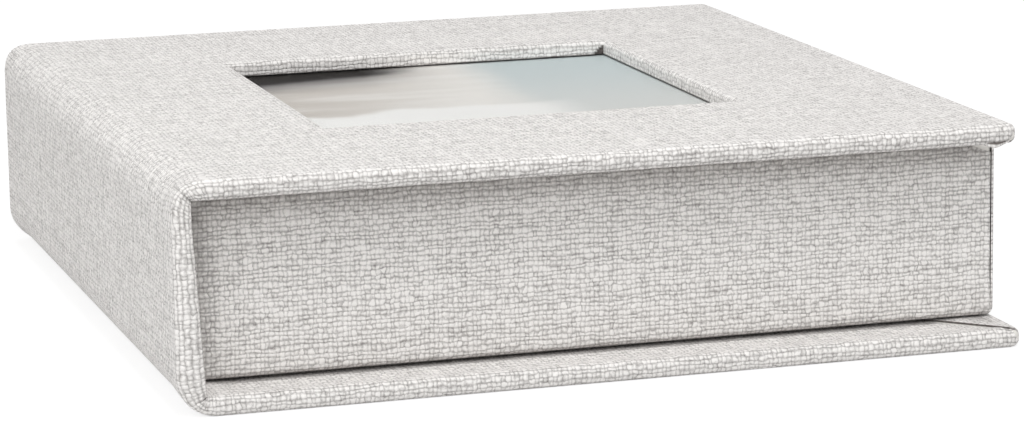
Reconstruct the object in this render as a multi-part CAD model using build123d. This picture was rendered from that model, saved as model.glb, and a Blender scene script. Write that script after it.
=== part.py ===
"""Cloth-covered photo storage box with a window in its lid, closed.

A drop-spine (clamshell) box.  The case is three boards under one cloth: base, spine
and lid, with a rolled joint along each long edge of the spine.  A shallow three-walled
tray stands on the base, and a larger one hangs under the lid and closes over it.  The
lid has a square window with a print behind clear film.

Units are millimetres.  The box is drawn with the spine's outer face on x = 0, the front
edge on y = 0 and the floor on z = 0, and is centred on the floor when it is exported.
Every piece is its own solid in its own file under parts/.
"""
from build123d import *
import os

# ---------------------------------------------------------------- driving dimensions
CASE_W = 186.0            # spine face to the base's fore edge
CASE_D = 198.0            # front edge to back edge
CASE_H = 49.0             # floor to the top of the lid
LID_SETBACK = 1.4         # the lid's fore edge stands this far inside the base's

CLOTH = 0.5               # covering cloth
PAPER = 0.3               # lining paper, film and print
COVER_T = 4.2             # a covered board: cloth, 3.2 mm board, cloth or infill card
SPINE_R = 8.2             # roll of the two spine joints
EDGE_R = 1.6              # rounding of the covers' edges, over the cloth
JOINT_SLIT = 0.07         # half-slit on the diagonal where two covers meet in a joint
TURN_IN = 18.0            # cloth turned over on to the covers' inner faces

WINDOW = 94.0             # clear opening in the lid, square, centred
WINDOW_R = 1.2            # rounding of the window's upper edge
REBATE = 109.0            # square rebate under the window for film, print and card
REBATE_H = 0.9

HEAD_SQUARE = 12.6        # the covers stand out past the outer tray at front and back
FORE_SQUARE = 1.6         # and the base past it at the fore edge
WALL_BOARD = 2.0          # tray walls and floors
RIM_GAP = 0.7             # outer tray's rim above the base
RIM_R = 1.4               # rounding of the outer tray's rim
SPINE_GAP = 0.8           # trays' open side to the spine's inner face
NEST_GAP = 1.0            # between the trays at front and back
NEST_GAP_FORE = 1.5       # and at the fore edge, where the lid swings past
INNER_TOP_GAP = 1.5       # inner tray's top to the outer tray's lining
CUT_CORNER = (11.0, 4.2)  # cloth cut away at the front wall's upper fore corner: x, z

# ---------------------------------------------------------------- derived levels
WALL_T = CLOTH + WALL_BOARD + PAPER
LID_W = CASE_W - LID_SETBACK
LID_Z = CASE_H - COVER_T                     # the lid's inner face
TRAY_X0 = COVER_T + SPINE_GAP                # both trays' open side
OUT_X1 = CASE_W - FORE_SQUARE                # outer tray, outside faces
OUT_Y0, OUT_Y1 = HEAD_SQUARE, CASE_D - HEAD_SQUARE
OUT_Z0 = COVER_T + RIM_GAP
OUT_FLOOR_Z = LID_Z - WALL_BOARD             # underside of the outer tray's floor board
IN_X1 = OUT_X1 - WALL_T - NEST_GAP_FORE      # inner tray, outside faces
IN_Y0 = OUT_Y0 + WALL_T + NEST_GAP
IN_Y1 = CASE_D - IN_Y0
IN_Z1 = OUT_FLOOR_Z - PAPER - INNER_TOP_GAP
IN_FLOOR_Z = COVER_T + WALL_BOARD            # top of the inner tray's floor board
WIN_X, WIN_Y = LID_W / 2, CASE_D / 2
FAR = 400.0


# ---------------------------------------------------------------- small helpers
def block(x0, x1, y0, y1, z0, z1):
    """A box given by its limits."""
    return Pos((x0 + x1) / 2, (y0 + y1) / 2, (z0 + z1) / 2) * Box(x1 - x0, y1 - y0, z1 - z0)


def square(size, z0, z1):
    """A square prism centred on the window."""
    return block(WIN_X - size / 2, WIN_X + size / 2, WIN_Y - size / 2, WIN_Y + size / 2, z0, z1)


def prism_y(points):
    """A prism along y over a polygon of (x, z) points, far longer than the box."""
    face = make_face(Plane.XZ * Polyline(*points, close=True))
    return Pos(0, -FAR / 2, 0) * extrude(face, amount=FAR, dir=(0, 1, 0))


def along(shape, axis, **at):
    """Edges parallel to an axis ('X', 'Y' or 'Z') whose centre has the given coordinates."""
    found = []
    for edge in shape.edges():
        box, mid = edge.bounding_box(), edge.center()
        spans = {"X": box.size.X, "Y": box.size.Y, "Z": box.size.Z}
        if all(span < 1e-6 for name, span in spans.items() if name != axis) and spans[axis] > 1e-6:
            if all(abs(getattr(mid, key) - value) < 1e-4 for key, value in at.items()):
                found.append(edge)
    return found


# ---------------------------------------------------------------- the three covers
def case_skin(length, inset):
    """The closed case as one rounded block, its faces moved in by inset."""
    x1, y0, y1 = length - inset, inset, CASE_D - inset
    z0, z1 = inset, CASE_H - inset
    body = block(inset, x1, y0, y1, z0, z1)
    body = fillet(along(body, "Y", X=inset), SPINE_R - inset)
    ends = [e for e in body.edges() if abs(e.center().Y - y0) < 1e-4 or abs(e.center().Y - y1) < 1e-4]
    return fillet(ends + along(body, "Y", X=x1), EDGE_R - inset)


def flat_slab(length, inset):
    """Everything under a cover's inner face, with that face's edges rounded."""
    x1, y0, y1, z1 = length - inset, inset, CASE_D - inset, COVER_T - inset
    slab = block(-10, x1, y0, y1, -10, z1)
    edges = along(slab, "X", Z=z1) + along(slab, "Y", Z=z1, X=x1) + along(slab, "Z", X=x1)
    return fillet(edges, EDGE_R - inset)


def flat_cover(length, inset, slit):
    """A cover lying on the floor, cut on the diagonal of its spine joint."""
    side = prism_y([(slit - 10, -10), (FAR, -10), (FAR, 30), (30 + slit, 30)])
    return case_skin(length, inset) & flat_slab(length, inset) & side


def upright_cover(inset, slit):
    """The spine, cut on the diagonals of both joints."""
    slab = block(-10, COVER_T - inset, inset, CASE_D - inset, -10, CASE_H + 10)
    slab = fillet(along(slab, "Z", X=COVER_T - inset), EDGE_R - inset)
    mid = CASE_H / 2
    side = prism_y([(-10, slit - 10), (mid - slit, mid), (-10, CASE_H + 10 - slit)])
    return case_skin(CASE_W, inset) & slab & side


def to_lid(shape):
    """Turn a shape made for the base over, to lie under the top of the closed box."""
    return mirror(shape, about=Plane.XY.offset(CASE_H / 2))


def base_pieces():
    """Board, infill card and cloth of the base."""
    cavity = flat_cover(CASE_W, CLOTH, -1.5)
    board = cavity & block(SPINE_R, CASE_W, 0, CASE_D, 0, COVER_T)
    card = block(SPINE_R + TURN_IN, CASE_W - TURN_IN, TURN_IN, CASE_D - TURN_IN,
                 COVER_T - CLOTH, COVER_T)
    cloth = flat_cover(CASE_W, 0, JOINT_SLIT) - cavity - card
    return {"base_board": board, "base_infill_card": card, "base_cloth": cloth}


def spine_pieces():
    """Board, lining and cloth of the spine."""
    cavity = upright_cover(CLOTH, -1.5)
    board = cavity & block(0, COVER_T, 0, CASE_D, SPINE_R, CASE_H - SPINE_R)
    cloth = upright_cover(0, JOINT_SLIT) - cavity
    lining = block(COVER_T, COVER_T + PAPER, HEAD_SQUARE + 2, CASE_D - HEAD_SQUARE - 2,
                   COVER_T + 0.6, LID_Z - 0.6)
    return {"spine_board": board, "spine_cloth": cloth, "spine_lining": lining}


def lid_pieces():
    """Board, infill card and cloth of the lid, open at the window."""
    cavity = to_lid(flat_cover(LID_W, CLOTH, -1.5))
    rebate = square(REBATE, LID_Z - 1, LID_Z + REBATE_H)
    board = cavity & block(SPINE_R, LID_W, 0, CASE_D, LID_Z, CASE_H)
    board = board - square(WINDOW + 2 * CLOTH, 0, FAR) - rebate
    card = block(SPINE_R + TURN_IN, LID_W - TURN_IN, TURN_IN, CASE_D - TURN_IN,
                 LID_Z, LID_Z + CLOTH) - rebate
    opening = square(WINDOW, 0, CASE_H + 10)
    cover = to_lid(flat_cover(LID_W, 0, JOINT_SLIT)) - opening
    edge = [e for e in cover.edges() if abs(e.center().Z - CASE_H) < 1e-4
            and abs(e.center().X - WIN_X) < WINDOW / 2 + 1
            and abs(e.center().Y - WIN_Y) < WINDOW / 2 + 1]
    cover = fillet(edge, WINDOW_R)
    hollow = cavity - square(WINDOW + 2 * CLOTH, 0, FAR)
    cloth = cover - hollow - rebate - card
    return {"lid_board": board, "lid_infill_card": card, "lid_cloth": cloth}


def display_pieces():
    """Clear film, print and pocket card in the rebate under the window."""
    top = LID_Z + REBATE_H
    film = square(REBATE - 0.6, top - PAPER, top)
    picture = square(REBATE - 2, top - 2 * PAPER, top - PAPER)
    card = square(REBATE - 0.6, LID_Z, top - 2 * PAPER)
    return {"window_film": film, "display_print": picture, "pocket_card": card}


# ---------------------------------------------------------------- the two trays
def outer_ring(outset, rim, inset):
    """The outer tray's three walls between two offsets from its outside and inside faces."""
    shell = block(TRAY_X0, OUT_X1 - outset, OUT_Y0 + outset, OUT_Y1 - outset, OUT_Z0 + rim, LID_Z)
    low = OUT_Z0 + rim
    edges = along(shell, "X", Z=low) + along(shell, "Y", Z=low, X=OUT_X1 - outset)
    edges += along(shell, "Z", X=OUT_X1 - outset)
    shell = fillet(edges, RIM_R - outset)
    return shell - block(-FAR, OUT_X1 - WALL_T + inset, OUT_Y0 + WALL_T - inset,
                         OUT_Y1 - WALL_T + inset, 0, FAR)


def outer_tray_pieces():
    """Floor, walls, cloths and lining of the tray under the lid."""
    boards = outer_ring(CLOTH, CLOTH, PAPER)
    inner_y0 = OUT_Y0 + CLOTH + WALL_BOARD
    inner_y1 = CASE_D - inner_y0
    inner_x1 = OUT_X1 - CLOTH - WALL_BOARD
    front = boards & block(0, FAR, 0, inner_y0, 0, FAR)
    back = boards & block(0, FAR, inner_y1, FAR, 0, FAR)
    fore = boards & block(inner_x1, FAR, inner_y0, inner_y1, 0, FAR)
    floor = block(TRAY_X0, inner_x1, inner_y0, inner_y1, OUT_FLOOR_Z, LID_Z)

    lining = block(TRAY_X0, inner_x1, inner_y0, inner_y1, OUT_Z0 + CLOTH, OUT_FLOOR_Z)
    lining -= block(-FAR, inner_x1 - PAPER, inner_y0 + PAPER, inner_y1 - PAPER,
                    0, OUT_FLOOR_Z - PAPER)

    cloths = outer_ring(0, 0, 0) - boards - lining - floor
    strip = block(0, OUT_X1 - CLOTH, 0, OUT_Y0 + WALL_T, 0, FAR)
    cut_x, cut_z = CUT_CORNER
    cut = prism_y([(OUT_X1 - cut_x, LID_Z), (OUT_X1, LID_Z), (OUT_X1, LID_Z - cut_z)])
    front_cloth = (cloths & strip) - cut
    back_strip = block(0, OUT_X1 - CLOTH, OUT_Y1 - WALL_T, FAR, 0, FAR)
    back_cloth = cloths & back_strip
    fore_cloth = cloths - strip - back_strip
    return {"outer_tray_front_wall": front, "outer_tray_back_wall": back,
            "outer_tray_fore_edge_wall": fore, "outer_tray_floor": floor,
            "outer_tray_lining": lining, "outer_tray_front_cloth": front_cloth,
            "outer_tray_back_cloth": back_cloth, "outer_tray_fore_edge_cloth": fore_cloth}


def inner_tray_pieces():
    """Floor, walls, cloth and lining of the tray on the base."""
    inner_y0 = IN_Y0 + CLOTH + WALL_BOARD
    inner_y1 = CASE_D - inner_y0
    inner_x1 = IN_X1 - CLOTH - WALL_BOARD
    top = IN_Z1 - CLOTH
    front = block(TRAY_X0, IN_X1 - CLOTH, IN_Y0 + CLOTH, inner_y0, COVER_T, top)
    back = block(TRAY_X0, IN_X1 - CLOTH, inner_y1, IN_Y1 - CLOTH, COVER_T, top)
    fore = block(inner_x1, IN_X1 - CLOTH, inner_y0, inner_y1, COVER_T, top)
    floor = block(TRAY_X0, inner_x1, inner_y0, inner_y1, COVER_T, IN_FLOOR_Z)

    lining = block(TRAY_X0, inner_x1, inner_y0, inner_y1, IN_FLOOR_Z, top)
    lining -= block(-FAR, inner_x1 - PAPER, inner_y0 + PAPER, inner_y1 - PAPER,
                    IN_FLOOR_Z + PAPER, FAR)

    shell = block(TRAY_X0, IN_X1, IN_Y0, IN_Y1, COVER_T, IN_Z1)
    rim = along(shell, "X", Z=IN_Z1) + along(shell, "Y", Z=IN_Z1, X=IN_X1)
    rim += along(shell, "Z", X=IN_X1)
    shell = fillet(rim, CLOTH)
    cloth = shell - block(-FAR, inner_x1 - PAPER, inner_y0 + PAPER, inner_y1 - PAPER, 0, FAR)
    cloth = cloth - front - back - fore - floor - lining
    return {"inner_tray_front_wall": front, "inner_tray_back_wall": back,
            "inner_tray_fore_edge_wall": fore, "inner_tray_floor": floor,
            "inner_tray_lining": lining, "inner_tray_cloth": cloth}


# ---------------------------------------------------------------- export
def main():
    os.makedirs("parts", exist_ok=True)
    pieces = {}
    for group in (base_pieces, spine_pieces, lid_pieces, display_pieces,
                  inner_tray_pieces, outer_tray_pieces):
        pieces.update(group())
    for name, shape in pieces.items():
        placed = Pos(-CASE_W / 2, -CASE_D / 2, 0) * shape
        export_step(placed, f"parts/{name}.step")


if __name__ == "__main__":
    main()
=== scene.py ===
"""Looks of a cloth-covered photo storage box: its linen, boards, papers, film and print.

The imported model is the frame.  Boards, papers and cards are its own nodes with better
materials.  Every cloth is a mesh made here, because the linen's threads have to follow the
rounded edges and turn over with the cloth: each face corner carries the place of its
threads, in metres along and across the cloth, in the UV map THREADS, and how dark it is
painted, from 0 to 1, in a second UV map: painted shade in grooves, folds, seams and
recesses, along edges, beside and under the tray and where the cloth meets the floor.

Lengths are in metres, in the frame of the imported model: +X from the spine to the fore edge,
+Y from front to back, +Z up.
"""
from collections import namedtuple
from math import copysign, cos, dist, pi, radians, sin, sqrt

import bpy
import bmesh
from mathutils import Matrix, Vector


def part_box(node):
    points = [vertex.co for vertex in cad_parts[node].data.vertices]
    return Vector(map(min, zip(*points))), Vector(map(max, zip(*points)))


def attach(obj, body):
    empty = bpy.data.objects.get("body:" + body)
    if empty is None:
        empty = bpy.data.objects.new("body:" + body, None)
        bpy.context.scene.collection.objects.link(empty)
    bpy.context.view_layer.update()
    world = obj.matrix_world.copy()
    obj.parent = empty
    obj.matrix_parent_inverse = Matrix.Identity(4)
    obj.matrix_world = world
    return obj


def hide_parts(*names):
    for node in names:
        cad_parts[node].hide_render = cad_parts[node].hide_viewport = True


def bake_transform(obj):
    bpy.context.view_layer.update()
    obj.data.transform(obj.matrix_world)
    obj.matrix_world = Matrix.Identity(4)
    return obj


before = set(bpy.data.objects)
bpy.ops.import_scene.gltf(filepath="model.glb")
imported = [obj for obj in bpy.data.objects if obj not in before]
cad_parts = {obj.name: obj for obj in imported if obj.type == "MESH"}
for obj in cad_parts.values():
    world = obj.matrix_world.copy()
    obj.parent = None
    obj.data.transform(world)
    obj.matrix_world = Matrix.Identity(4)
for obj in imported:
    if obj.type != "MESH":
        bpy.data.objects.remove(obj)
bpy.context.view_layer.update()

MM = 0.001
THREADS = "threads"
PAINTED_SHADE_MAP = "painted_shade"

# ---- sizes from the frame
BASE_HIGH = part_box("base_cloth")[1]
LID_LOW, LID_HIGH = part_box("lid_cloth")
SPINE_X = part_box("spine_cloth")[0].x    # its outer face
BACK_Y = BASE_HIGH.y                    # the front edge is at -BACK_Y
COVER_T = BASE_HIGH.z                   # a covered board
TOP_Z = LID_HIGH.z
FILM_LOW, FILM_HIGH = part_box("window_film")
WINDOW_X = (FILM_LOW.x + FILM_HIGH.x) / 2
REBATE_HALF = (FILM_HIGH.x - FILM_LOW.x) / 2
OUTER_LOW, OUTER_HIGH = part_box("outer_tray_fore_edge_cloth")
TRAY_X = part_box("outer_tray_front_wall")[0].x       # where both trays' walls start
INNER_LOW, INNER_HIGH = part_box("inner_tray_cloth")

# ---- sizes of the cloth work
CLOTH = 0.5 * MM
ARC_STEPS = 6               # faces round a quarter turn
SAME = 1e-6                 # points nearer than this are one

# the covers
EDGE_R = 1.6 * MM           # rounding of their edges
CORNER_R = 2.8 * MM         # and of their fore corners, seen from above
TURN_IN = 18 * MM           # cloth turned over on to their inner faces
TURN_IN_LINES = (2.2, 2.8, 4, 5.5, 7.5, 10, 11.8, 13.2, 15.3, 16.4, 17.4)   # its rows, in mm
EDGE_BAND = 6 * MM          # band beside an edge, before the plain field
EDGE_LINES = (4, 2.6)       # the band's rows, in mm from the edge

# the spine and its joints; a roll's curve has one power in its middle and one at its ends,
# where 2 is round and more is squarer
ROLL_R = 8.2 * MM
COVER_X = SPINE_X + ROLL_R  # where a cover's cloth starts
LOWER_ROLL = (1.6, 1.9)
UPPER_ROLL = (2.0, 3.0)
ROLL_END_BAND = (84 * MM, 97.5 * MM)    # from the middle, where one power turns to the other
ROLL_ANGLES = (0, 5, 10, 15, 20, 25, 30, 35, 39, 42.5, 45,
               47.5, 51, 55, 60, 65, 70, 75, 80, 85, 90)
CREASE = 0.35 * MM          # crease where a joint's cloth folds in, at its front and back
CREASE_BAND = (0, 0.7)      # it deepens over these shares of the way in
PINCH = 0.3 * MM            # and where it is pinched over the upper joint's ends
PINCH_BAND = (6 * MM, 11 * MM)
SPINE_LEAN = 0.058          # the spine's ends thicken by this share of the way down
LEAN_TOP = 40 * MM
LEAN_BAND = (87.2 * MM, 90.5 * MM)

# the window in the lid
WINDOW_HALF = 47 * MM
WINDOW_R = 1.3 * MM
WINDOW_BAND = 3 * MM
WINDOW_LINES = (0.4, 0.9, 1.5, 2.1, 2.8, 3.6)   # rows beside its corners, in mm
WINDOW_FACE_LINE = 2.1 * MM     # a row on the lid beside it
WINDOW_SIDE_LINES = (1.8 * MM, 2.3 * MM)    # and two down its side
SLIT_REACH = 2.5 * MM       # its cloth gapes this far from its back fore corner
SLIT_BAND = (0.5 * MM, 3.4 * MM)    # over these depths
SLIT_DEPTH = 0.42 * MM
SLIT_EDGE = 0.2 * MM

# where two turn-ins meet on a cover's corner, from 0 facing front to 90 facing the fore edge
SIDE_ANGLES = (0, 11, 22, 33, 40, 45)
FORE_ANGLES = (45, 50, 57, 68, 79, 90)
MITRE_DEPTH = 0.46 * MM
MITRE_SINKS = (COVER_T * 0.45, COVER_T * 0.9)   # its groove deepens over these depths
MITRE_ENDS = (TURN_IN - 1 * MM, TURN_IN - 0.5 * MM)     # and ends over these insets
MITRE_HALF = 0.45 * MM
MITRE_EASE = 1.2 * MM
NEAR_SHARE = 0.8            # the turn-in beside it is sunk by this share of its depth
LIP_REACH = 0.45 * MM       # the fore turn-in lies over the others by this much
LIP_STARTS = (COVER_T * 0.9, COVER_T)
LIP_ENDS = (TURN_IN - 2 * MM, TURN_IN - 0.7 * MM)
PRESSED = 0.42 * MM         # the base's turn-ins are pressed in beside the tray
PRESSED_BAND = (2.2 * MM, 6 * MM, 15.3 * MM, 16.3 * MM)
PRESSED_START = 3 * MM
LOOSE_FOLD = (80 * MM, 91 * MM)     # the lid's fore turn-in hangs loose between these x
LOOSE_SAG = 0.75 * MM
LOOSE_LIFT = 1.9 * MM       # its ends are tucked this far in
LOOSE_FULL = 0.6            # it hangs most at this share of its length
LOOSE_BACK = 0.62           # and from this share to its end
LOOSE_LESS = 0.75           # is tucked in again by this much

# the trays
WALL_T = 2.8 * MM           # a tray wall with its cloth and paper
RIM_R = 2.0 * MM            # rounding of the outer tray's rim
RIM_DROP = 0.4 * MM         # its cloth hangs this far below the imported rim
BULGE = 0.35 * MM           # and stands this far off its fore-edge board
INNER_RIM_R = 0.7 * MM
TRAY_CORNER_R = 0.75 * MM   # rounding of the trays' corners, seen from above
CUT_CORNER = (11 * MM, 4.2 * MM)    # cloth cut away at the front wall's upper fore corner
SEAM = 0.3 * MM             # open seam where a tray's front cloth meets its fore-edge cloth
SEAM_CLOSES = (2.5 * MM, 6 * MM)    # the outer tray's closes at the rim

# how dark shade is painted on the cloth, from 0 to 1, and the bands over which that fades
LID_EDGE_SHADE = 0.12             # painted shade along the edges
BASE_EDGE_SHADE = 0.03
SPINE_EDGE_SHADE = 0.06
EDGE_SHADE_BAND = (0.3 * MM, 1.4 * MM)
SPINE_EDGE_SHADE_BAND = (0.1, 0.35)   # shares of the way in
FOLD_BAND = (0.35, 0.9)         # where a joint's crease darkens
FLOOR_SHADE = 0.9           # the cloth's edge on the floor
FLOOR_BAND = 0.33 * MM
PINCH_SHADE = 0.5
MITRE_SHADE = 0.85          # beside a mitre
MITRE_BAND = (COVER_T * 0.5, COVER_T * 0.85)
TRAY_SHADE = 0.5            # the base's cloth beside and under the tray
TRAY_SHADOW = (11.8 * MM, 13.2 * MM)
TRAY_FORE_SHADOW = (0.5 * MM, 2.5 * MM)
TUCK_SHADE = 0.56           # a tray's cloth at its open end, and where it is tucked in
TUCK_BAND = 3 * MM
FOOT_SHADE = TUCK_SHADE * 0.6
FOOT_BAND = (2.2 * MM, 4.2 * MM)
RIM_SHADE = 0.3             # the outer tray's cloth where it turns in
RIM_BAND = (0.2 * MM, 1.4 * MM)


# ---- meshes made of quads
class Patches:
    """Grids of points that are welded into one mesh, with thread places and painted shade."""

    def __init__(self):
        self.mesh = bmesh.new()
        self.threads = self.mesh.loops.layers.uv.new(THREADS)
        self.painted_shade = self.mesh.loops.layers.uv.new(PAINTED_SHADE_MAP)

    def grid(self, rows, skip=None):
        """Adds rows of (point, thread place, painted shade); skip(i, j) leaves a quad out."""
        verts = [[self.mesh.verts.new(point) for point, _, _ in row] for row in rows]
        for i in range(len(rows) - 1):
            for j in range(len(rows[0]) - 1):
                if skip and skip(i, j):
                    continue
                at = [(i, j), (i + 1, j), (i + 1, j + 1), (i, j + 1)]
                face = self.mesh.faces.new([verts[a][b] for a, b in at])
                face.smooth = True
                for loop, (a, b) in zip(face.loops, at):
                    _, loop[self.threads].uv, painted_dark = rows[a][b]
                    loop[self.painted_shade].uv = (painted_dark, 0)

    def cap(self, ring, thread, painted_dark=0):
        """Closes a ring of points with a flat face; thread(point) gives its thread place."""
        face = self.mesh.faces.new([self.mesh.verts.new(p) for p in ring])
        for loop in face.loops:
            loop[self.threads].uv = thread(loop.vert.co)
            loop[self.painted_shade].uv = (painted_dark, 0)

    def fill(self, level):
        """Closes what is open at the height level, round a hole or not."""
        self.weld()
        edges = [e for e in self.mesh.edges
                 if e.is_boundary and all(abs(v.co.z - level) < SAME for v in e.verts)]
        bmesh.ops.triangle_fill(self.mesh, edges=edges, use_beauty=True)

    def weld(self):
        """Joins the points that lie on each other."""
        bmesh.ops.remove_doubles(self.mesh, verts=self.mesh.verts, dist=SAME)

    def piece(self, name):
        """Welds the patches and returns the object, with sharp edges round its caps."""
        self.weld()
        bmesh.ops.dissolve_degenerate(self.mesh, edges=self.mesh.edges, dist=1e-7)
        bmesh.ops.recalc_face_normals(self.mesh, faces=self.mesh.faces)
        for face in self.mesh.faces:
            if not face.smooth:
                for edge in face.edges:
                    edge.smooth = False
        data = bpy.data.meshes.new(name)
        self.mesh.to_mesh(data)
        self.mesh.free()
        return added(name, data)


def added(name, data):
    """A new object of the data, in the scene."""
    made = bpy.data.objects.new(name, data)
    bpy.context.scene.collection.objects.link(made)
    return made


def distinct(ring):
    """A ring of points without neighbours that lie on each other."""
    kept = []
    for point in ring:
        if not kept or dist(point, kept[-1]) > SAME:
            kept.append(point)
    if dist(kept[0], kept[-1]) < SAME:
        kept.pop()
    return kept


def swept(name, rows, thread, painted_dark=0):
    """A piece of rows as for a grid, each round a section, with its two ends capped."""
    patches = Patches()
    patches.grid(rows)
    for row in (rows[0], rows[-1]):
        patches.cap(distinct([point for point, _, _ in row]), thread, painted_dark)
    return patches.piece(name)


def quarter_turns(first=1):
    """A quarter turn's angles in radians, from step first to its end."""
    return [pi / 2 * k / ARC_STEPS for k in range(first, ARC_STEPS + 1)]


def spread(start, end, steps):
    """Evenly spaced values from start to end, both included."""
    return [start + (end - start) * k / steps for k in range(steps + 1)]


def smooth(value, low, high):
    """0 below low, 1 above high and smooth between."""
    t = min(max((value - low) / (high - low), 0), 1)
    return t * t * (3 - 2 * t)


def lengths(points):
    """Distance along a line of points, from its first point."""
    total, found = 0, [0]
    for a, b in zip(points, points[1:]):
        total += dist(a, b)
        found.append(total)
    return found


# ---- a cover's edge
def edge_profile():
    """(inset, depth, length) from a cover's outer face, round its edge and on to the turn-in.

    inset is the distance inside the edge, depth the distance below the outer face, and
    length the distance along the cloth, 0 where the outer face's rounding starts.
    """
    points = [(EDGE_BAND, 0), *[(inset * MM, 0) for inset in EDGE_LINES], (EDGE_R, 0)]
    points += [(EDGE_R * (1 - sin(turn)), EDGE_R * (1 - cos(turn))) for turn in quarter_turns()]
    points += [(EDGE_R * (1 - cos(turn)), COVER_T - EDGE_R * (1 - sin(turn)))
               for turn in quarter_turns(0)]
    points += [(inset * MM, COVER_T) for inset in TURN_IN_LINES] + [(TURN_IN, COVER_T)]
    offset = EDGE_BAND - EDGE_R
    return [(inset, depth, length - offset)
            for (inset, depth), length in zip(points, lengths(points))]


PROFILE = edge_profile()


def closed_up(place, edge, inset, start=0):
    """Where a line of the field lies at an inset: lines close up to leave the mitre room."""
    reach = edge - EDGE_BAND - MITRE_EASE - start
    room = edge - max(inset, CORNER_R) - MITRE_EASE - start
    return start + (place - start) * room / reach


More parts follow.
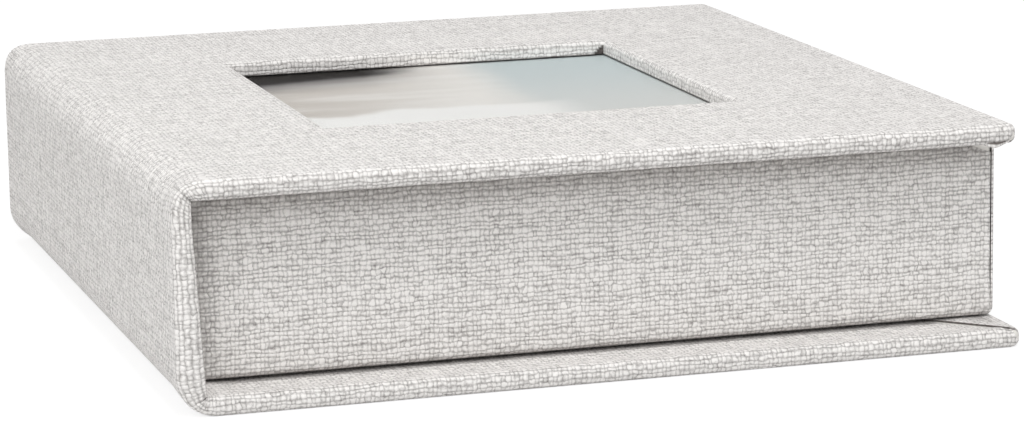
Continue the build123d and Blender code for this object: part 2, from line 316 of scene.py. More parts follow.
class Cover:
    """The base's or the lid's cloth: a plate from its spine joint to its fore edge."""

    def __init__(self, fore_x, place, u_origin, u_sign, xs, ys, edge_shade, pressed=0):
        self.fore_x = fore_x
        self.place = place
        self.u_origin = u_origin
        self.u_sign = u_sign
        self.xs = xs
        self.ys = ys
        self.edge_shade = edge_shade
        self.pressed = pressed
        self.patches = Patches()

    def u(self, x):
        """The place of the warp at x, counted along the cloth from the spine's foot."""
        return self.u_origin + self.u_sign * (x - COVER_X)

    def corner(self, inset, angle):
        """A point of the front fore corner, at an angle in degrees."""
        reach, middle = max(CORNER_R - inset, 0), max(inset, CORNER_R)
        turn = radians(angle)
        return self.fore_x - middle + reach * sin(turn), -BACK_Y + middle - reach * cos(turn)

    def sunk(self, inset, depth, share=1):
        """A profile point moved into the plate by a share of the mitre's groove."""
        amount = share * MITRE_DEPTH * smooth(depth, *MITRE_SINKS)
        amount *= 1 - smooth(inset, *MITRE_ENDS)
        if inset >= EDGE_R:
            return inset, depth - amount
        out = Vector((inset - EDGE_R, max(depth - (COVER_T - EDGE_R), 0)))
        if out.length < 1e-9:
            return inset, depth
        out.normalize()
        return inset - out.x * amount, depth - out.y * amount

    def seam(self, inset, depth):
        """The foot of the mitre's groove, under the lip of the fore turn-in."""
        deep_inset, deep = self.sunk(inset, depth)
        x, y = self.corner(deep_inset, 45)
        under = LIP_REACH * smooth(depth, *LIP_STARTS) * smooth(inset, EDGE_R, CORNER_R)
        under *= 1 - smooth(inset, *LIP_ENDS)
        return x + under, y + under, deep

    def shade(self, x, y, inset, depth, angle):
        """How dark the cloth is at a profile point; angle is its place in a corner, or None.

        It has painted shade along its edges, where the base's edge meets the floor, beside and
        under the base's tray, in a corner's groove, which is at 45, and beside that.
        """
        turned_in = depth >= COVER_T - SAME
        # painted shade along the cover's edges
        found = [0 if turned_in else self.edge_shade * smooth(depth, *EDGE_SHADE_BAND)]
        # painted shade where the base's edge meets the floor, and a painted shadow beside and under
        # the tray
        if self.pressed:
            found.append(FLOOR_SHADE * (1 - smooth(depth, 0, FLOOR_BAND)))
        if self.pressed and turned_in:
            found.append(TRAY_SHADE * smooth(BACK_Y - abs(y), *TRAY_SHADOW)
                         * smooth(self.fore_x - x, *TRAY_FORE_SHADOW))
        # painted shade in the mitre's groove, and beside it at the other corner angles
        if angle is not None:
            groove_shade = smooth(depth, *MITRE_BAND) * (inset < MITRE_ENDS[1])
            away = max(CORNER_R - inset, 0) * radians(abs(angle - 45)) / MITRE_HALF
            found.append(groove_shade if angle == 45 else MITRE_SHADE * groove_shade * max(1 - away, 0))
        return max(found)

    def pressed_in(self, x, inset, depth):
        """How far the turn-in is pressed in beside the tray."""
        if not self.pressed or depth < COVER_T - SAME:
            return 0
        start, full, end, gone = PRESSED_BAND
        band = smooth(inset, start, full) * (1 - smooth(inset, end, gone))
        return self.pressed * band * smooth(x, COVER_X, COVER_X + PRESSED_START)

    def side_strip(self, flip):
        """The front edge's strip of cloth with flip 1, or the back edge's with -1."""
        rows = []
        for inset, depth, length in PROFILE:
            across = flip * (-BACK_Y + EDGE_R - length)
            base = self.fore_x - max(inset, CORNER_R)
            arc = max(CORNER_R - inset, 0)
            row = [(closed_up(x, self.fore_x, inset, COVER_X), -BACK_Y + inset, depth)
                   for x in self.xs]
            for ease, share in ((MITRE_EASE / 2, NEAR_SHARE / 2), (MITRE_HALF, NEAR_SHARE)):
                low_inset, low_depth = self.sunk(inset, depth, share)
                row.append((base - ease, -BACK_Y + low_inset, low_depth))
            along = [self.u(x) for x, _, _ in row]
            along += [self.u(base) + self.u_sign * arc * radians(a) for a in SIDE_ANGLES]
            angles = [None] * len(row) + [*SIDE_ANGLES]
            row += [(*self.corner(low_inset, angle), low_depth) for angle in SIDE_ANGLES[:-1]]
            row = [(x, y, z - self.pressed_in(x, inset, depth)) for x, y, z in row]
            row.append(self.seam(inset, depth))
            rows.append([(self.place(x, flip * y, z), (u, across),
                          self.shade(x, y, inset, depth, angle))
                         for (x, y, z), u, angle in zip(row, along, angles)])
        return rows

    def fore_strip(self):
        """The fore edge's strip of cloth, from mitre to mitre."""
        rows = []
        for inset, depth, length in PROFILE:
            along = self.u(self.fore_x - EDGE_R) + self.u_sign * length
            edge = -BACK_Y + max(inset, CORNER_R)
            arc = max(CORNER_R - inset, 0)
            half = [(*self.seam(inset, depth), edge - arc * radians(45), 45)]
            half += [(*self.corner(inset, a), depth, edge - arc * radians(90 - a), a)
                     for a in FORE_ANGLES[1:]]
            beside = [edge + MITRE_HALF, edge + MITRE_EASE / 2]
            plain = [(self.fore_x - inset, y, depth, y, None)
                     for y in beside + [closed_up(y, BACK_Y, inset) for y in self.ys]]
            row = half + plain + [(x, -y, z, -v, a) for x, y, z, v, a in reversed(half + plain[:2])]
            rows.append([(self.place(x, y, z), (along, v), self.shade(x, y, inset, depth, angle))
                         for x, y, z, v, angle in row])
        return rows

    def columns(self, inset):
        """The field's columns with those beside the fore mitres."""
        edge = self.fore_x - inset
        ends = [edge - MITRE_EASE / 2, edge - MITRE_HALF, edge]
        return [closed_up(x, self.fore_x, inset, COVER_X) for x in self.xs] + ends

    def rows(self, inset):
        """The field's rows with those beside the mitres."""
        edge = BACK_Y - inset
        ends = [edge, edge - MITRE_HALF, edge - MITRE_EASE / 2]
        rows = [closed_up(y, BACK_Y, inset) for y in self.ys]
        return [-y for y in ends] + rows + ends[::-1]

    def build(self, name, window=False):
        """Makes the piece: strips, outer field, recess for the infill card and joint face."""
        for strip in (self.side_strip(1), self.side_strip(-1), self.fore_strip()):
            self.patches.grid(strip)
        columns, rows = self.columns(EDGE_BAND), self.rows(EDGE_BAND)
        hole = WINDOW_HALF + WINDOW_BAND

        def skip(i, j):
            mid_x = (columns[i] + columns[i + 1]) / 2
            mid_y = (rows[j] + rows[j + 1]) / 2
            return window and abs(mid_x - WINDOW_X) < hole and abs(mid_y) < hole

        self.patches.grid([[(self.place(x, y, 0), (self.u(x), y), 0) for y in rows]
                           for x in columns], skip)
        if window:
            self.window(hole)
        self.recess()
        self.joint_face()
        self.patches.fill(self.place(0, 0, COVER_T - CLOTH)[2])
        return self.patches.piece(name)

    def recess(self):
        """The turn-ins' raw edges, one cloth thick, round the infill card."""
        x1, y1 = self.fore_x - TURN_IN, BACK_Y - TURN_IN
        line = [(x, -y1) for x in self.columns(TURN_IN)]
        line += [(x1, y) for y in self.rows(TURN_IN)[1:]]
        line += [(x, y1) for x in reversed(self.columns(TURN_IN)[:-1])]
        self.patches.grid([[(self.place(x, y, COVER_T - drop), (self.u(x), y + drop), 0)
                            for x, y in line] for drop in (0, CLOTH)])

    def joint_face(self):
        """The flat face against the joint's cloth."""
        ring = [(-BACK_Y + inset, depth) for inset, depth, _ in PROFILE]
        ring.append((-BACK_Y + TURN_IN, COVER_T - CLOTH))
        ring += [(-y, depth) for y, depth in reversed(ring)]
        ring += [(y, 0) for y in reversed(self.rows(EDGE_BAND)[1:-1])]
        self.patches.cap([self.place(COVER_X, y, z) for y, z in ring], lambda p: (p.y, p.z))

    def window(self, hole):
        """The cloth round the window: over its edge, down its side and under the board."""
        floor = TOP_Z - FILM_HIGH.z
        under = REBATE_HALF - WINDOW_HALF
        points = [(WINDOW_BAND, 0, 0), (WINDOW_FACE_LINE, 0, 0), (WINDOW_R, 0, 0)]
        points += [(WINDOW_R * (1 - sin(turn)), WINDOW_R * (1 - cos(turn)), 0)
                   for turn in quarter_turns()]
        points += [(0, depth, 0) for depth in (*WINDOW_SIDE_LINES, floor - 0.35 * MM)]
        # the rows at the film and under the board are painted fully dark, as shade at the window's
        # foot
        points += [(0, floor, 1), (under, floor, 1), (under, COVER_T - CLOTH, 1)]
        shares_x = [(x - WINDOW_X) / hole for x in self.xs if abs(x - WINDOW_X) < hole + SAME]
        shares_y = [y / hole for y in self.ys if abs(y) < hole + SAME]
        places = lengths([point[:2] for point in points])
        for side in range(4):
            rows = []
            for (out, depth, painted_dark), length in zip(points, places):
                row = [self.window_point(side, share, WINDOW_HALF + out, depth)
                       for share in (shares_y if side % 2 else shares_x)]
                rows.append([(self.place(x, y, depth),
                              self.window_thread(side, x, y, hole - length), max(painted_dark, slit))
                             for x, y, slit in row])
            self.patches.grid(rows)

    def window_point(self, side, share, half, depth):
        """(x, y, painted shade) at a share of a side's half length: front, fore, back or spine
        side.

        The back side's cloth was cut short at the fore corner and gapes there, with painted shade
        in the gap.
        """
        along, across = share * half, (-half, half, half, -half)[side]
        x, y = (along, across) if side % 2 == 0 else (across, along)
        slit = 0
        if abs(half - WINDOW_HALF) < SAME and y > half - SAME:
            reach = SLIT_REACH * smooth(depth, *SLIT_BAND)
            slit = smooth(x, half - reach - SLIT_EDGE, half - reach + SLIT_EDGE)
            slit *= reach > SLIT_EDGE
            y += SLIT_DEPTH * slit
        return WINDOW_X + x, y, slit

    def window_thread(self, side, x, y, across):
        """The thread place of a point beside the window, across metres from its middle."""
        if side % 2 == 0:
            return self.u(x), -across if side == 0 else across
        return self.u(WINDOW_X + (across if side == 1 else -across)), y


# ---- the spine and its joints
def case_section():
    """(y, depth, thread) round the spine's or a joint's section, back to its first point."""
    edge = BACK_Y - EDGE_BAND
    half = [edge - step * MM for step in (0, 1.5, 3, 5, 8, 11, 15)] + spread(60 * MM, 0, 5)
    ring = [(y, 0, y) for y in [-y for y in half] + half[-2::-1]]
    back = [(BACK_Y - inset, depth, BACK_Y - EDGE_R + length) for inset, depth, length in PROFILE]
    inner = [(y, COVER_T, y) for y in spread(BACK_Y - TURN_IN, TURN_IN - BACK_Y, 6)]
    front = [(-y, depth, -v) for y, depth, v in reversed(back)]
    return ring + back[1:] + inner + front


# A station of the case's cloth: the (x, z) points of its outer face, of that face at its ends and
# of its inner face, the place of its warp, and how far the cloth folds in at its ends, is pinched
# over them and is thickened there.
Station = namedtuple("Station", "outer tip inner u fold pinch lean")


def case_strip(name, stations):
    """A piece of the case's cloth swept along stations."""
    rows = []
    for outer, tip, inner, u, fold, pinch, lean in stations:
        row = []
        for y, depth, v in case_section():
            share = depth / COVER_T
            pinched = 1 - smooth(BACK_Y - abs(y), *PINCH_BAND)
            start = Vector(outer).lerp(Vector(tip), smooth(abs(y), *ROLL_END_BAND))
            start += (Vector(inner) - start).normalized() * pinch * pinched
            x, z = start.lerp(Vector(inner), share)
            x += lean * share * smooth(abs(y), *LEAN_BAND)
            rim = smooth(abs(y), BACK_Y - 2 * EDGE_R, BACK_Y - EDGE_R / 2)
            y -= copysign(fold * rim * smooth(share, *CREASE_BAND), y)
            # painted shade in the joint's fold and pinch, along the spine's edges and where it
            # meets the floor
            dark = max(fold / CREASE * smooth(share, *FOLD_BAND),
                       pinch / PINCH * PINCH_SHADE * pinched,
                       SPINE_EDGE_SHADE * smooth(share, *SPINE_EDGE_SHADE_BAND) * (share < 1),
                       FLOOR_SHADE * (1 - smooth(z, 0, FLOOR_BAND)))
            row.append(((SPINE_X + x, y, z), (u, v), dark))
        rows.append(row)
    return swept(name, rows, lambda p: (p.z, p.y))


def lean_at(z):
    """How much thicker the spine's ends are at a height."""
    return SPINE_LEAN * max(LEAN_TOP - z, 0)


def roll_point(turn, power):
    """The roll's outer (x, z) at an angle in radians, on a curve of a power."""
    return (ROLL_R * (1 - sin(turn) ** (2 / power)),
            ROLL_R * (1 - max(cos(turn), 0) ** (2 / power)))


def joint_stations(powers, pinch=0, lean=0):
    """Stations of the lower joint, from the base up to the spine.

    powers shape its roll, and lean is how much its inner corner is thickened at its ends.
    """
    found = []
    for angle in ROLL_ANGLES:
        turn = radians(angle)
        outer, tip = (roll_point(turn, power) for power in powers)
        run = (ROLL_R - COVER_T) * abs(1 - angle / 45)
        inner = (COVER_T + run, COVER_T) if angle < 45 else (COVER_T, COVER_T + run)
        extra = max(lean - run, 0) if angle < 45 else lean and lean_at(COVER_T + run)
        middle = angle == 45
        found.append(Station(outer, tip, inner, ROLL_R * (turn - pi / 2), CREASE * middle,
                             pinch * middle, extra))
    return found


def spine_stations():
    """Stations of the spine, from the lower joint to the upper one."""
    return [Station((0, z), (0, z), (COVER_T, z), z - ROLL_R, 0, 0, lean_at(z))
            for z in spread(ROLL_R, TOP_Z - ROLL_R, 12)]


def turned_over(stations):
    """The same stations under the top of the box; the warp runs on from the spine."""
    return [Station(*((x, TOP_Z - z) for x, z in at[:3]), TOP_Z - 2 * ROLL_R - at.u, *at[4:])
            for at in stations]


# ---- the trays' cloths
class Tray:
    """Cloth over a tray's three walls, one cloth thick, turned over the walls' rim."""

    def __init__(self, high, radius, rim_z, foot_z, drop=0):
        self.fore_x = high.x
        self.side_y = high.y
        self.radius = radius
        self.rim_z = rim_z
        self.foot_z = foot_z
        self.drop = drop

    def section(self, foot_z):
        """(out, z, thread) round the cloth's section, from outside over the rim and back.

        out is the distance from the middle of the corner's rounding, towards the outside.
        """
        up = 1 if self.foot_z > self.rim_z else -1
        thin = self.radius - CLOTH
        straight = self.rim_z + up * self.radius
        line = [(self.radius, z) for z in spread(foot_z, straight, 5)]
        line += self.rounding(self.radius, up)
        line += [(self.radius - WALL_T, self.rim_z),
                 (self.radius - WALL_T, self.rim_z + up * (CLOTH + self.drop))]
        line += reversed(self.rounding(thin, up))
        line += [(thin, z) for z in spread(straight, foot_z, 5)]
        line.append(line[0])
        inward = TRAY_CORNER_R - self.radius
        return [(out + inward, z, foot_z - up * length)
                for (out, z), length in zip(line, lengths(line))]

    def rounding(self, radius, up):
        """The rim's quarter round at a radius about its middle, from outside to the rim."""
        return [(radius * cos(turn), self.rim_z + up * (self.radius - radius * sin(turn)))
                for turn in quarter_turns()]

    def corner(self, angle):
        """The station at an angle round the front fore corner, 0 facing front."""
        middle = (self.fore_x - TRAY_CORNER_R, -self.side_y + TRAY_CORNER_R)
        turn = radians(angle)
        return middle, (sin(turn), -cos(turn)), True, middle[0] + TRAY_CORNER_R * turn

    def side_stations(self):
        """Stations of the front wall's cloth, up to the open seam beside the corner."""
        y = -self.side_y + TRAY_CORNER_R
        cut_x, end_x = self.fore_x - CUT_CORNER[0], self.fore_x - TRAY_CORNER_R - SEAM
        xs = spread(TRAY_X, cut_x, 24) + spread(cut_x, end_x, 8)[1:]
        return [((x, y), (0, -1), False, x) for x in xs]

    def fore_stations(self):
        """Stations of the fore-edge wall's cloth, between the two open seams."""
        corner = [self.corner(angle) for angle in spread(0, 90, 6)]
        x, y1 = self.fore_x - TRAY_CORNER_R, self.side_y - TRAY_CORNER_R
        middle = x + TRAY_CORNER_R * pi / 2 + y1
        straight = [((x, y), (1, 0), False, middle + y) for y in spread(-y1, y1, 24)[1:-1]]
        far = [((cx, -cy), (nx, -ny), True, 2 * middle - along)
               for (cx, cy), (nx, ny), _, along in reversed(corner)]
        return corner + straight + far

    def build(self, name, stations, flip=1, cut=None):
        """Sweeps the section along the stations; cut gives the height it is cut to at x.

        The outer tray's front and back cloths reach over the open seam at the rim.
        """
        rows = []
        for (cx, cy), (nx, ny), turning, along in stations:
            section = self.section(cut(cx + TRAY_CORNER_R * nx) if cut else self.foot_z)
            at_seam = self.drop and not turning and cx == stations[-1][0][0] and nx == 0
            # painted shade at the cloth's open end, where it is tucked in at the foot, and at the
            # outer tray's rim
            end = TUCK_SHADE * (1 - smooth(cx, TRAY_X, TRAY_X + TUCK_BAND))
            foot = FOOT_SHADE * smooth(cx, TRAY_X, TRAY_X + 1 * MM)
            rim = RIM_SHADE if self.drop else 0
            row = []
            for out, z, across in section:
                x, y = cx + out * nx, cy + out * ny
                if out < 0 and turning:
                    x, y = cx + out, cy - copysign(out, cy)
                if at_seam:
                    x += SEAM * (1 - smooth(abs(z - self.rim_z), *SEAM_CLOSES))
                dark = max(end, foot * (1 - smooth(abs(z - self.foot_z), *FOOT_BAND)),
                           rim * (1 - smooth(abs(z - self.rim_z), *RIM_BAND)))
                row.append(((x, flip * y, z), (along, across), dark))
            rows.append(row)
        # the caps in the open seams are painted fully dark, as shade
        return swept(name, rows, lambda p: (p.x + p.y, p.z), painted_dark=1)


def slanted_cut(x):
    """Height of the outer tray's front cloth, cut away at the wall's upper fore corner."""
    share = (x - (OUTER_HIGH.x - CUT_CORNER[0])) / CUT_CORNER[0]
    return OUTER_HIGH.z - max(share, 0) * CUT_CORNER[1]


# ---- a loose fold of cloth
def loose_fold(name):
    """The end of the lid's fore turn-in, which hangs below the front fore corner."""
    start, end = LOOSE_FOLD
    low = LID_LOW.z
    # each section point: out and up in mm, how far it sags, and painted shade in the crevice above
    # it
    section = [(0.8, 0.65, 0, 1), (0.2, 0.5, 0, 1), (0.02, 0.28, 0, 1), (-0.03, 0.1, 0.3, 0),
               (0.1, 0, 0.6, 0), (0.6, 0, 0.9, 0), (1.4, 0, 1, 0), (3, 0, 0.7, 0),
               (5.5, 0.1, 0, 0), (4, 0.35, 0, 0), (0.8, 0.65, 0, 1)]
    rows = []
    for share in spread(0, 1, 20):
        x = start + (end - start) * share
        back = max(share - LOOSE_BACK, 0) / (1 - LOOSE_BACK)
        shown = smooth(share, 0, LOOSE_FULL) * (1 - back * LOOSE_LESS)
        round_x = max(x - (LID_HIGH.x - CORNER_R), 0)
        edge = -BACK_Y + CORNER_R - sqrt(CORNER_R ** 2 - round_x ** 2)
        hidden = (1 - shown) * LOOSE_LIFT
        row = []
        for out, up, sag, dark in section:
            y = edge + out * MM + hidden
            z = low + up * MM + hidden * 0.5 - sag * LOOSE_SAG * shown
            row.append(((x, y, z), (x, y), dark))
        rows.append(row)
    return swept(name, rows, lambda p: (p.x, p.y))


# ---- materials
# the linen's threads, warp and weft; their widths and ways are in thread pitches
PITCH = (1.04 * MM, 1.06 * MM)
WANDER = (1.5, 1.7)         # how far they wander along their length
SWAY = (0.7, 0.55)          # and sway from crossing to crossing
HALF_WIDTH = (0.31, 0.30)   # half the width of a thin thread
UNEVEN = 0.10               # threads differ by this
SLUB = 0.24                 # and swell by this where they are slubby
WIDEST = 0.52
# the darkening on flanks and where threads dive is painted shade between the threads, which leaves
# the crowns as painted highlights
FLANK_RISE = 0.78           # a flank darkens by this up to its edge
FLANK_EDGE = (0.8, 1.15, 0, 0.22)   # and more from 0.8 to 1.15 of the thread's half width
FLANK_DARK = (0.64, 1.0)    # how dark a crown is at its flanks
END_DARK = (0.70, 0.40)     # and where it dives under the next thread
CROWN_LIGHT = 1.13          # lightness of a warp crown
WEFT_LIGHT = 0.20           # weft crowns are this much lighter
SHADE = 0.74                # and dark places this much darker
SHADE_LEAST = 0.6           # times this at least
SHADE_CHANGE = 0.9          # and this more from place to place
CELL_CHANGE = 0.24          # crowns differ by this
ROW_CHANGE = 0.12           # and whole threads by this
FIBRE_CHANGE = 0.9
PATCH_CHANGE = 0.05
PAINTED_SHADE_DARK = 0.92          # painted shade darkens the cloth by up to this
TONE = 0.93                 # lightness of the whole cloth
LINEN_DEPTH = 0.22 * MM
LINEN_DARK = (0.08, 0.064, 0.057, 1)
LINEN_LIGHT = (1, 0.975, 0.953, 1)


class Value:
    """A node's output; arithmetic on it adds Math nodes."""

    def __init__(self, socket):
        self.socket = socket
        self.tree = socket.id_data

    def math(self, operation, *others):
        return add_node(self.tree, "Math", (self, *others), operation=operation)

    def __add__(self, other):
        return self.math("ADD", other)

    def __sub__(self, other):
        return self.math("SUBTRACT", other)

    def __mul__(self, other):
        return self.math("MULTIPLY", other)

    def step(self, low, high, first=0, last=1):
        """Smooth change from first, at or below low, to last, at or above high."""
        return add_node(self.tree, "MapRange", (self, low, high, first, last),
                        interpolation_type="SMOOTHSTEP")


def fill_in(node, values):
    """Links or sets a node's inputs, given in order or by name or number."""
    for key, value in values.items() if isinstance(values, dict) else enumerate(values):
        if isinstance(value, Value):
            node.id_data.links.new(value.socket, node.inputs[key])
        else:
            node.inputs[key].default_value = value


def add_node(tree, kind, values=(), output=0, **settings):
    """Adds a node with its settings and its inputs filled in, and returns an output."""
    node = tree.nodes.new("ShaderNode" + kind)
    for name, value in settings.items():
        setattr(node, name, value)
    fill_in(node, values)
    return Value(node.outputs[output])


def vector(x, y, z=0):
    """A vector of a Value and two Values or numbers."""
    return add_node(x.tree, "CombineXYZ", (x, y, z))


def parts(place):
    """The three numbers of a vector."""
    node = add_node(place.tree, "SeparateXYZ", (place,)).socket.node
    return [Value(output) for output in node.outputs]


def noise_at(place, scale=1, detail=2, roughness=0.5):
    """Smooth noise from 0 to 1, about 0.5."""
    return add_node(place.tree, "TexNoise", {"Vector": place, "Scale": scale, "Detail": detail,
                                             "Roughness": roughness}, "Fac")


def noise_over(u, v, by_u, by_v, seed=0, detail=2, roughness=0.5):
    """The same over (u, v), at a scale along each."""
    return noise_at(vector(u * by_u, v * by_v, seed), detail=detail, roughness=roughness)


def chance(index, seed):
    """A random number from 0 to 1 for each whole number."""
    return add_node(index.tree, "TexWhiteNoise", {"Vector": vector(index, seed)}, "Value",
                    noise_dimensions="2D")


def blend_colours(factor, first, second):
    """Two colours blended by a factor."""
    return add_node(factor.tree, "Mix", {0: factor, 6: first, 7: second}, 2, data_type="RGBA")


def surface(name):
    """A new material, its tree and its Principled shader."""
    material = bpy.data.materials.new(name)
    material.use_nodes = True
    tree = material.node_tree
    return material, tree, tree.nodes["Principled BSDF"]


def bump(shader, height, distance):
    """Raises a shader's surface by height times distance."""
    raised = {"Strength": 1, "Distance": distance, "Height": height}
    fill_in(shader, {"Normal": add_node(height.tree, "Bump", raised)})


def weave(across, along):
    """(height, light) of a slubby plain weave, at a place in thread counts."""
    def noise(by_across, by_along, seed=0, detail=2):
        return noise_over(across, along, by_across, by_along, seed, detail)

    warp = across + (noise(0.45, 0.10) - 0.5) * WANDER[0] + (noise(0.8, 0.8, 3, 0) - 0.5) * SWAY[0]
    weft = (along + (noise(0.10, 0.45, 7) - 0.5) * WANDER[1]
            + (noise(0.8, 0.8, 11, 0) - 0.5) * SWAY[1])
    warp_number, weft_number = warp.math("FLOOR"), weft.math("FLOOR")
    warp_side = warp - warp_number - 0.5
    weft_side = weft - weft_number - 0.5
    warp_over = (warp_number + weft_number).math("FLOORED_MODULO", 2.0)
    weft_over = warp_over * -1 + 1

    def thread(way, number, swelling, side, along_it, over):
        """(height, flanks' darkness, ends' darkness) of the warp, way 0, or the weft, way 1."""
        width = chance(number, 1.5 + way) * UNEVEN + swelling * SLUB + HALF_WIDTH[way]
        ratio = side.math("ABSOLUTE").math("DIVIDE", width.math("MINIMUM", WIDEST))
        body = (ratio * ratio * -1 + 1).math("MAXIMUM", 0.0).math("SQRT")
        crown = (along_it * pi).math("COSINE")
        height = body * 0.5 + crown * (over * 2 - 1) * 0.5
        flank = ratio.math("MINIMUM", 1.0) * FLANK_RISE + ratio.step(*FLANK_EDGE)
        end = along_it * along_it * 4
        return height, flank * over * FLANK_DARK[way], end * over * END_DARK[way]

    slub, knot = noise(0.9, 0.16, 5, 1), noise(0.16, 0.9, 6, 1)
    warp_top, warp_flank, warp_end = thread(0, warp_number, slub, warp_side, weft_side, warp_over)
    weft_top, weft_flank, weft_end = thread(1, weft_number, knot, weft_side, warp_side, weft_over)
    flank, end = warp_flank + weft_flank, warp_end + weft_end
    shade = flank + end - flank * end
    depth = noise(0.6, 0.6, 13, 1)
    light = shade * (depth * SHADE_CHANGE + SHADE_LEAST) * -SHADE
    light = light + weft_over * WEFT_LIGHT + CROWN_LIGHT
    cell = chance(warp_number, weft_number)
    row = chance(weft_number, 4.5) * 0.6 + chance(warp_number, 3.5) * 0.4
    light = light + (cell - 0.5) * CELL_CHANGE + (row - 0.5) * ROW_CHANGE
    return warp_top.math("MAXIMUM", weft_top), light


def linen_material():
    """Off-white bookcloth: a slubby plain weave in pale grey-beige."""
    material, tree, shader = surface("linen_bookcloth")
    u, v, _ = parts(add_node(tree, "UVMap", uv_map=THREADS))
    across, along = u * (1 / PITCH[0]), v * (1 / PITCH[1])
    height, light = weave(across, along)
    fibre = noise_over(across, along, 1.9, 1.9, 4, 3, roughness=0.75)
    patch = noise_over(across, along, 0.12, 0.12, 9, 3)
    light = light + (fibre - 0.5) * FIBRE_CHANGE + (patch - 0.5) * PATCH_CHANGE
    # painted shade from the second UV map darkens the cloth
    painted_dark, _, _ = parts(add_node(tree, "UVMap", uv_map=PAINTED_SHADE_MAP))
    light = light * (painted_dark * -PAINTED_SHADE_DARK + 1) * TONE
    fill_in(shader, {"Base Color": blend_colours(light, LINEN_DARK, LINEN_LIGHT),
                     "Roughness": 0.88, "Specular IOR Level": 0.22,
                     "Sheen Weight": 0.08, "Sheen Roughness": 0.5})
    bump(shader, height + fibre * 0.3, LINEN_DEPTH)
    return material


def pressed_material(name, colour, dark, grain, distance):
    """Board or paper: pressed fibres with fine specks."""
    material, tree, shader = surface(name)
    here = add_node(tree, "TexCoord", output="Object")
    fibres = noise_at(here, grain, detail=5, roughness=0.65)
    clouds = noise_at(here, grain * 0.06)
    specks = noise_at(here, grain * 2.7, detail=1).step(0.66, 0.78)
    factor = (fibres - 0.5) * 0.7 + (clouds - 0.5) * 0.5 + specks * 0.25 + 0.3
    mixed = blend_colours(factor.math("MAXIMUM", 0.0), (*colour, 1), (*dark, 1))
    fill_in(shader, {"Base Color": mixed, "Roughness": 0.82, "Specular IOR Level": 0.3})
    bump(shader, fibres, distance)
    return material


def film_material():
    """Clear film: clear from above and glossy at a slant."""
    material, tree, shader = surface("clear_film")
    fill_in(shader, {"Base Color": (0.12, 0.125, 0.125, 1), "Roughness": 0.07, "IOR": 1.45})
    here = add_node(tree, "TexCoord", output="Object")
    bump(shader, noise_at(here, 38, detail=1), 0.03 * MM)
    clear = add_node(tree, "BsdfTransparent")
    glossy = add_node(tree, "LayerWeight", {"Blend": 0.28}) * 0.12 + 0.005
    film = add_node(tree, "MixShader", (glossy, clear, Value(shader.outputs[0])))
    fill_in(tree.nodes["Material Output"], {"Surface": film})
    return material


def print_material():
    """A plain landscape print: woods far off, a bare field, a white bank and pale water."""
    material, tree, shader = surface("landscape_print")
    x, y, _ = parts(add_node(tree, "TexCoord", output="Object"))
    right = (x - WINDOW_X) * (1 / WINDOW_HALF)
    back = y * (1 / WINDOW_HALF)
    hills = noise_over(right, back, 1.6, 0.5, 2, 3)
    furrow = noise_over(right, back, 1.2, 7, 4, 3)
    leaves = noise_over(right, back, 9, 9, 6, 4)
    water = blend_colours(back.step(-0.9, 0.9), (0.70, 0.71, 0.69, 1), (0.60, 0.67, 0.675, 1))
    field = blend_colours((right + back * -0.3).step(-0.9, 0.1), (0.62, 0.58, 0.535, 1),
                          (0.84, 0.82, 0.78, 1))
    field = blend_colours(furrow.step(0.42, 0.72, 0, 0.45), field, (0.93, 0.915, 0.89, 1))
    scene = blend_colours((right + (hills - 0.5) * 0.5).step(0.0, 0.42), field, water)
    bank = (back * -1 + (hills - 0.5) * 0.6).step(0.22, 0.34) * right.step(0.5, 0.1)
    scene = blend_colours(bank, scene, (0.93, 0.925, 0.905, 1))
    far = back + (hills - 0.5) * 0.22 - right * 0.16
    # the picture turns dark grey towards the back left
    darker_back_left = far.step(0.45, 0.95) * right.step(0.1, -0.5)
    scene = blend_colours(darker_back_left, scene, (0.16, 0.155, 0.16, 1))
    woods = (far + (leaves - 0.5) * 0.06).step(0.80, 0.92) * right.step(0.05, -0.35)
    picture = blend_colours(woods, scene, (0.014, 0.012, 0.011, 1))
    fill_in(shader, {"Base Color": picture, "Roughness": 0.7, "Specular IOR Level": 0.05})
    return material


# ---- the cloth pieces
def finished(piece, body, nodes):
    """Gives a cloth piece its material, slot and body, and hides the CAD nodes that it stands for.
    """
    piece.data.materials.append(LINEN)
    if nodes:
        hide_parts(*nodes)
    if body:
        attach(piece, body)
    return piece


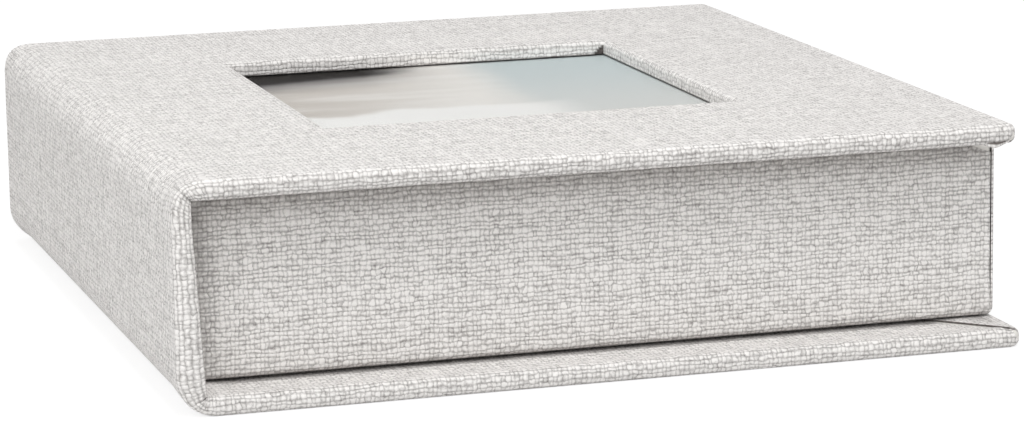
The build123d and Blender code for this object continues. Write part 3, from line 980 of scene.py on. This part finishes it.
def make_case():
    """Base, spine and lid cloths and the two joints between them."""
    arc = ROLL_R * pi / 2
    reach = BACK_Y - EDGE_BAND - MITRE_EASE
    base_end = BASE_HIGH.x - EDGE_BAND - MITRE_EASE
    base = Cover(BASE_HIGH.x, lambda x, y, depth: (x, y, depth), -arc, -1,
                 spread(COVER_X, base_end, 24), spread(-reach, reach, 24), BASE_EDGE_SHADE, PRESSED)
    finished(base.build("base_cover_cloth"), "base", ["base_cloth"])

    hole = WINDOW_HALF + WINDOW_BAND
    near = [gap * MM for gap in WINDOW_LINES]
    frame_line = [-hole] + [-hole + gap for gap in near]
    frame_line += spread(-hole + 8 * MM, hole - 8 * MM, 10)
    frame_line += [hole - gap for gap in reversed(near)] + [hole]
    lid_end = LID_HIGH.x - EDGE_BAND - MITRE_EASE
    xs = spread(COVER_X, WINDOW_X - hole, 6)[:-1] + [WINDOW_X + at for at in frame_line]
    xs += spread(WINDOW_X + hole, lid_end, 6)[1:]
    ys = spread(-reach, -hole, 6)[:-1] + frame_line + spread(hole, reach, 6)[1:]
    lid = Cover(LID_HIGH.x, lambda x, y, depth: (x, y, TOP_Z - depth), TOP_Z - 2 * ROLL_R + arc, 1,
                xs, ys, LID_EDGE_SHADE)
    finished(lid.build("lid_cover_cloth", window=True), "lid", ["lid_cloth"])
    finished(loose_fold("lid_loose_fold"), "lid", [])

    finished(case_strip("spine_cover_cloth", spine_stations()), "spine", ["spine_cloth"])
    lower = joint_stations(LOWER_ROLL, lean=lean_at(COVER_T))
    upper = turned_over(joint_stations(UPPER_ROLL, PINCH))
    for name, body, stations in (("lower_joint_cloth", "base", lower),
                                 ("upper_joint_cloth", "lid", upper)):
        piece = finished(case_strip(name, stations), None, [])
        start, end = ((SPINE_X + at.inner[0], 0, at.inner[1]) for at in (stations[0], stations[-1]))
        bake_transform(piece)
        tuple(start)
        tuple(end)


def make_trays():
    """The outer tray's three cloths under the lid and the inner tray's on the base."""
    outer = Tray(OUTER_HIGH + Vector((BULGE, 0, 0)), RIM_R, OUTER_LOW.z - RIM_DROP, OUTER_HIGH.z,
                 RIM_DROP)
    inner = Tray(INNER_HIGH, INNER_RIM_R, INNER_HIGH.z, INNER_LOW.z)
    side = outer.side_stations()
    finished(outer.build("outer_tray_front_linen", side, cut=slanted_cut), "lid",
             ["outer_tray_front_cloth"])
    finished(outer.build("outer_tray_back_linen", side, flip=-1), "lid", ["outer_tray_back_cloth"])
    finished(outer.build("outer_tray_fore_edge_linen", outer.fore_stations()), "lid",
             ["outer_tray_fore_edge_cloth"])
    side = inner.side_stations()
    finished(inner.build("inner_tray_front_linen", side), "base", ["inner_tray_cloth"])
    finished(inner.build("inner_tray_back_linen", side, flip=-1), "base", [])
    finished(inner.build("inner_tray_fore_edge_linen", inner.fore_stations()), "base", [])


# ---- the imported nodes' finishes
def dress_nodes():
    """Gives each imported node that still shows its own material."""
    board = pressed_material("pressed_board", (0.86, 0.845, 0.81), (0.70, 0.67, 0.62), 900,
                             0.05 * MM)
    finishes = {"card": pressed_material("infill_card", (0.80, 0.79, 0.76), (0.60, 0.58, 0.55),
                                         1400, 0.02 * MM),
                "lining": pressed_material("lining_paper", (0.83, 0.82, 0.79), (0.68, 0.66, 0.62),
                                           1800, 0.02 * MM),
                "window_film": film_material(), "display_print": print_material()}
    for name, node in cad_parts.items():
        material = next((finishes[kind] for kind in finishes if kind in name), board)
        for entry in node.material_slots:
            entry.material = material
        if not node.material_slots:
            node.data.materials.append(material)


# ---- floor, light and camera
WHITE = (1, 1, 1, 1)
WORLD_LIGHT = 0.3
FLOOR_COLOUR = (0.80, 0.80, 0.80, 1)
SHADOW_COLOUR = (0.32, 0.32, 0.32, 1)   # what the camera sees is this and a glow
FLOOR_GLOW = 0.78
FLOOR_HALF = 6

# softboxes: compass angle from the front towards the fore edge, height angle, watts
LAMPS = {"front": (0, 60, 5.8), "key": (-35, 30, 3.2), "side": (-75, 30, 1.95),
         "far": (45, 30, 1.95), "behind": (-135, 30, 1.6), "back": (180, 60, 2.9)}
LAMP_DISTANCE = 1.3
LAMP_SIZE = 0.5
LAMP_AIM = 20 * MM          # they face the middle of the box, this far above the floor

# the camera's lens over a 36 mm sensor, and where it stands and looks, in degrees
LENS = 139.2
CAMERA_PLACE = (-252.94 * MM, -864.92 * MM, 195.92 * MM)
CAMERA_YAW = 16.792
CAMERA_PITCH = 11.139
CAMERA_ROLL = -0.877


def camera_sees(tree):
    """1 for rays from the camera, in reflections and through clear film, otherwise 0."""
    path = add_node(tree, "LightPath").socket.node.outputs
    seen = Value(path["Is Camera Ray"])
    for name in ("Is Glossy Ray", "Is Transmission Ray"):
        seen = seen.math("MAXIMUM", Value(path[name]))
    return seen


def make_floor():
    """A pale floor that looks white and keeps the object's shadow."""
    mesh = bmesh.new()
    bmesh.ops.create_grid(mesh, x_segments=1, y_segments=1, size=FLOOR_HALF)
    data = bpy.data.meshes.new("floor")
    mesh.to_mesh(data)
    mesh.free()
    floor = added("floor", data)
    material, tree, shader = surface("studio_floor")
    tree.nodes.remove(shader)
    plain = add_node(tree, "BsdfDiffuse", {"Color": FLOOR_COLOUR})
    shaded = add_node(tree, "BsdfDiffuse", {"Color": SHADOW_COLOUR})
    glow = add_node(tree, "Emission", {"Strength": FLOOR_GLOW})
    seen = add_node(tree, "AddShader", (shaded, glow))
    mix = add_node(tree, "MixShader", (camera_sees(tree), plain, seen))
    fill_in(tree.nodes["Material Output"], {"Surface": mix})
    floor.data.materials.append(material)


def make_world():
    """An even white studio that looks white to the camera."""
    world = bpy.data.worlds.new("studio")
    world.use_nodes = True
    bpy.context.scene.world = world
    strength = camera_sees(world.node_tree) * (1 - WORLD_LIGHT) + WORLD_LIGHT
    fill_in(world.node_tree.nodes["Background"], {"Color": WHITE, "Strength": strength})


def softbox(name, turn, height, power):
    """A square area light round the object, at two angles in degrees, that faces it."""
    light = bpy.data.lights.new(name, "AREA")
    light.shape = "SQUARE"
    light.size = LAMP_SIZE
    light.energy = power
    lamp = added(name, light)
    turn, height = radians(turn), radians(height)
    away = Vector((cos(height) * sin(turn), -cos(height) * cos(turn),
                   sin(height)))
    lamp.location = Vector((0, 0, LAMP_AIM)) + away * LAMP_DISTANCE
    lamp.rotation_euler = (-away).to_track_quat("-Z", "Y").to_euler()


def make_camera():
    """The camera at the photograph's viewing angle."""
    data = bpy.data.cameras.new("camera")
    data.sensor_fit = "HORIZONTAL"
    data.sensor_width = 36
    data.lens = LENS
    data.clip_start = 0.05
    camera = added("camera", data)
    yaw, pitch, roll = (radians(a) for a in (CAMERA_YAW, CAMERA_PITCH, CAMERA_ROLL))
    ahead = Vector((sin(yaw) * cos(pitch), cos(yaw) * cos(pitch),
                    -sin(pitch)))
    level = Vector((cos(yaw), -sin(yaw), 0))
    up = level.cross(ahead)
    right = level * cos(roll) + up * sin(roll)
    up = right.cross(ahead)
    turn = Matrix((right, up, -ahead)).transposed().to_4x4()
    camera.matrix_world = Matrix.Translation(CAMERA_PLACE) @ turn
    bpy.context.scene.camera = camera


# ---- the scene
LINEN = linen_material()
make_case()
make_trays()
dress_nodes()
make_floor()
make_world()
for name, angles_and_power in LAMPS.items():
    softbox(name, *angles_and_power)
make_camera()
bpy.context.scene.view_settings.view_transform = "Standard"
